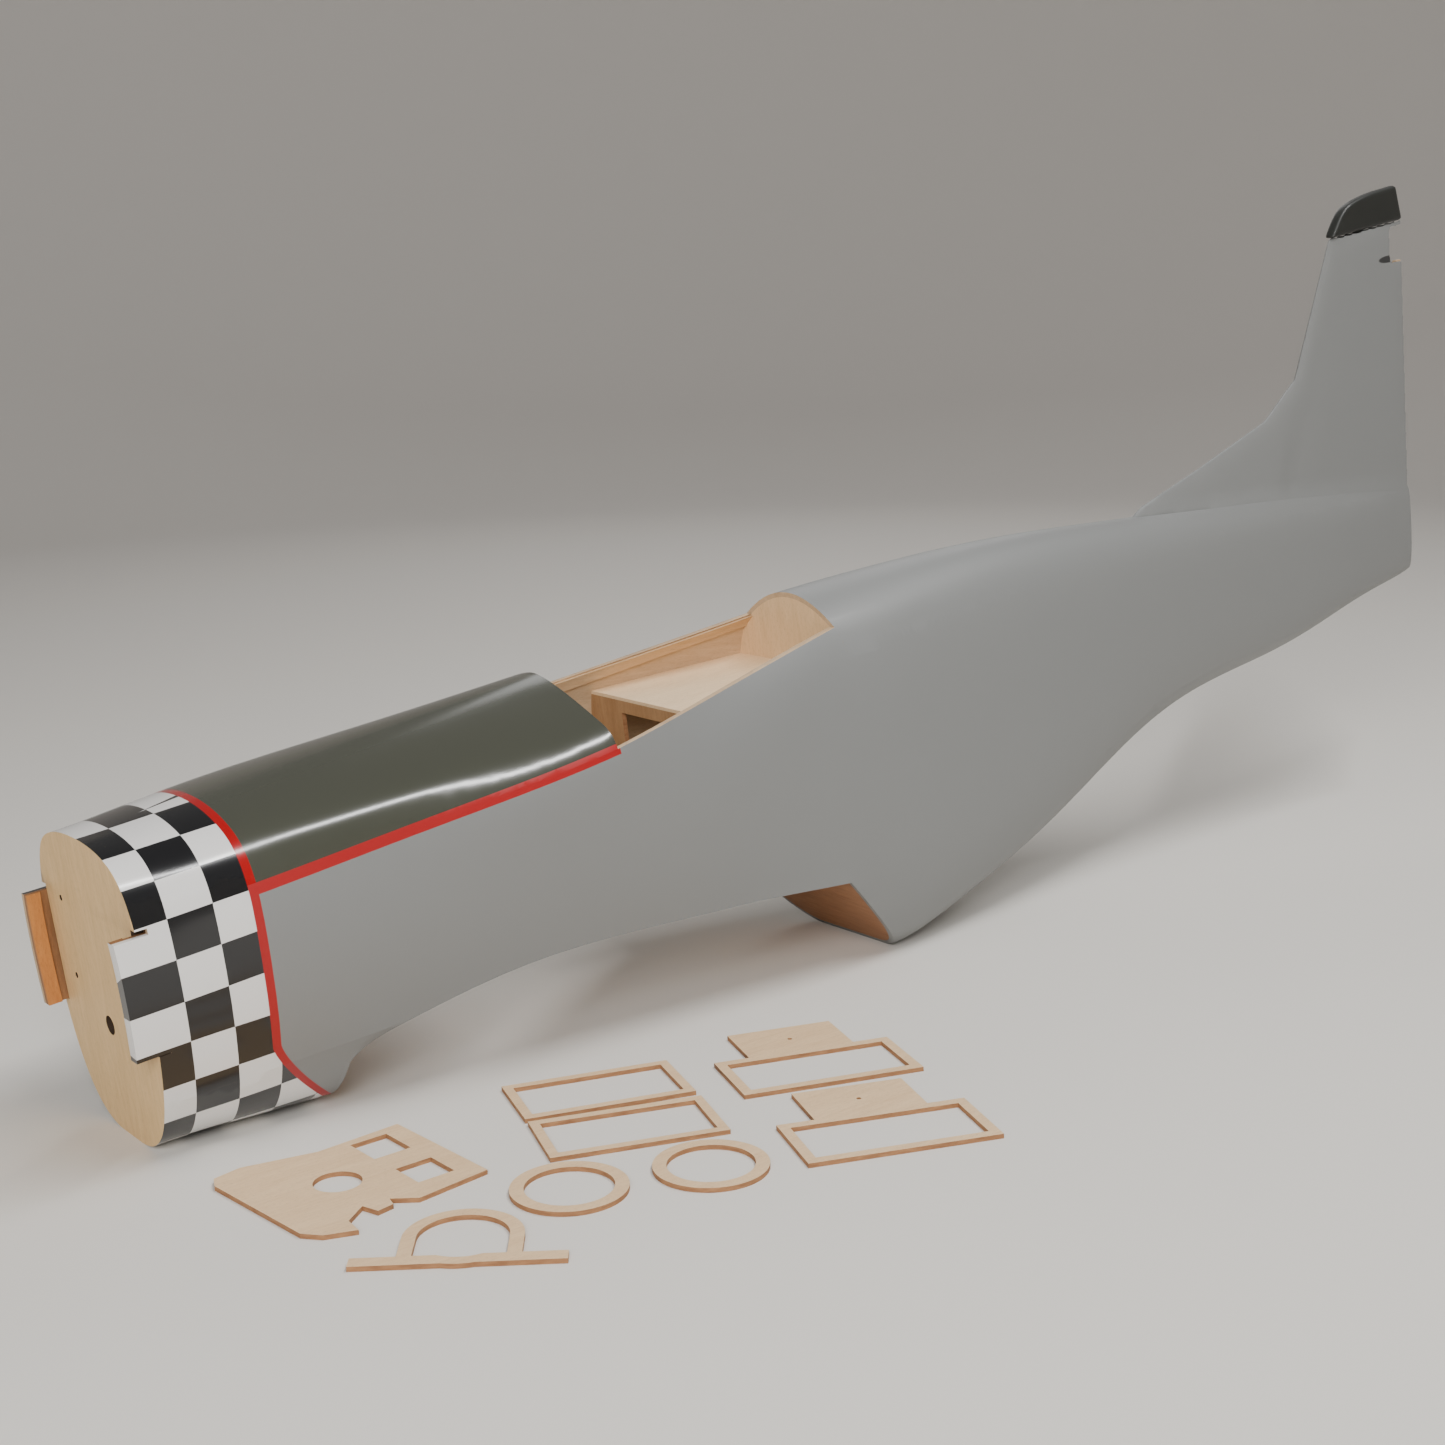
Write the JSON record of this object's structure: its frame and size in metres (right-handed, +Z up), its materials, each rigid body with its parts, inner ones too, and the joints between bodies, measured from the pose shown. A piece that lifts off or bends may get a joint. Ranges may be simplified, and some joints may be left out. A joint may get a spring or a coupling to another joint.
{
  "type": "model aircraft fuselage",
  "caption": "Film-covered balsa fuselage with fin for a radio-control fighter, open cockpit and wing seat, lying with its loose laser-cut ply frames, rings, cradle and tray.",
  "frame": {"origin": "middle of the firewall's front face, on the thrust line", "axes": "+X aft along the surface it rests on, +Y to starboard, +Z up; the fuselage's own datum is dipped nose down by 5.85 degrees about Y"},
  "size_m": [1.0832, 0.3671, 0.461],
  "materials": {
    "olive_film": "balsa sheeting under satin olive covering film",
    "grey_film": "balsa sheeting under satin grey covering film",
    "light_ply": "bare light birch plywood",
    "dark_ply": "bare plywood with brown laser-cut face",
    "balsa": "bare balsa",
    "tip_block": "balsa block under near-black film",
    "loose_ply": "bare laser-cut plywood with burnt edges",
    "steel": "plated steel"
  },
  "bodies": {
    "fuselage": {"firewall": "light_ply", "firewall_nut_upper": "steel", "firewall_nut_lower": "steel", "port_side": "grey_film", "starboard_side": "grey_film", "port_tab_doubler": "dark_ply", "starboard_tab_doubler": "dark_ply", "port_tab_strip": "light_ply", "starboard_tab_strip": "light_ply", "forward_deck": "olive_film", "chin_sheet": "grey_film", "wing_dowel_former": "light_ply", "dash_former": "light_ply", "cockpit_front_former": "light_ply", "cockpit_floor": "light_ply", "cockpit_rear_former": "light_ply", "port_sill_stringer": "balsa", "starboard_sill_stringer": "balsa", "turtledeck": "olive_film", "port_saddle_strip": "balsa", "starboard_saddle_strip": "balsa", "wing_bolt_plate": "light_ply", "port_wing_nut": "steel", "starboard_wing_nut": "steel", "scoop_front_former": "dark_ply", "scoop_shell": "grey_film", "aft_belly_sheet": "grey_film", "scoop_former": "light_ply", "waist_former": "light_ply", "boom_former": "light_ply", "fin_former": "light_ply", "stern_post": "balsa", "fin_port_skin": "olive_film", "fin_starboard_skin": "olive_film", "fin_leading_edge": "olive_film", "fin_post": "balsa", "fin_rib_low": "balsa", "fin_rib_middle": "balsa", "fin_rib_high": "balsa", "fin_tip": "tip_block", "dorsal_fillet": "olive_film"},
    "loose_tray_body": {"loose_tray": "loose_ply"},
    "loose_cradle_body": {"loose_cradle": "loose_ply"},
    "loose_ring_front_body": {"loose_ring_front": "loose_ply"},
    "loose_ring_rear_body": {"loose_ring_rear": "loose_ply"},
    "loose_frame_inboard_body": {"loose_frame_inboard": "loose_ply"},
    "loose_frame_outboard_body": {"loose_frame_outboard": "loose_ply"},
    "loose_tongue_frame_inboard_body": {"loose_tongue_frame_inboard": "loose_ply"},
    "loose_tongue_frame_outboard_body": {"loose_tongue_frame_outboard": "loose_ply"}
  },
  "joints": [
    {"name": "loose_tray_lift", "type": "slide", "parent": "fuselage", "child": "loose_tray_body", "axis": [0, 0, 1], "range_m": [0, 0.3]},
    {"name": "loose_cradle_lift", "type": "slide", "parent": "fuselage", "child": "loose_cradle_body", "axis": [0, 0, 1], "range_m": [0, 0.3]},
    {"name": "loose_ring_front_lift", "type": "slide", "parent": "fuselage", "child": "loose_ring_front_body", "axis": [0, 0, 1], "range_m": [0, 0.3]},
    {"name": "loose_ring_rear_lift", "type": "slide", "parent": "fuselage", "child": "loose_ring_rear_body", "axis": [0, 0, 1], "range_m": [0, 0.3]},
    {"name": "loose_frame_inboard_lift", "type": "slide", "parent": "fuselage", "child": "loose_frame_inboard_body", "axis": [0, 0, 1], "range_m": [0, 0.3]},
    {"name": "loose_frame_outboard_lift", "type": "slide", "parent": "fuselage", "child": "loose_frame_outboard_body", "axis": [0, 0, 1], "range_m": [0, 0.3]},
    {"name": "loose_tongue_frame_inboard_lift", "type": "slide", "parent": "fuselage", "child": "loose_tongue_frame_inboard_body", "axis": [0, 0, 1], "range_m": [0, 0.3]},
    {"name": "loose_tongue_frame_outboard_lift", "type": "slide", "parent": "fuselage", "child": "loose_tongue_frame_outboard_body", "axis": [0, 0, 1], "range_m": [0, 0.3]}
  ]
}
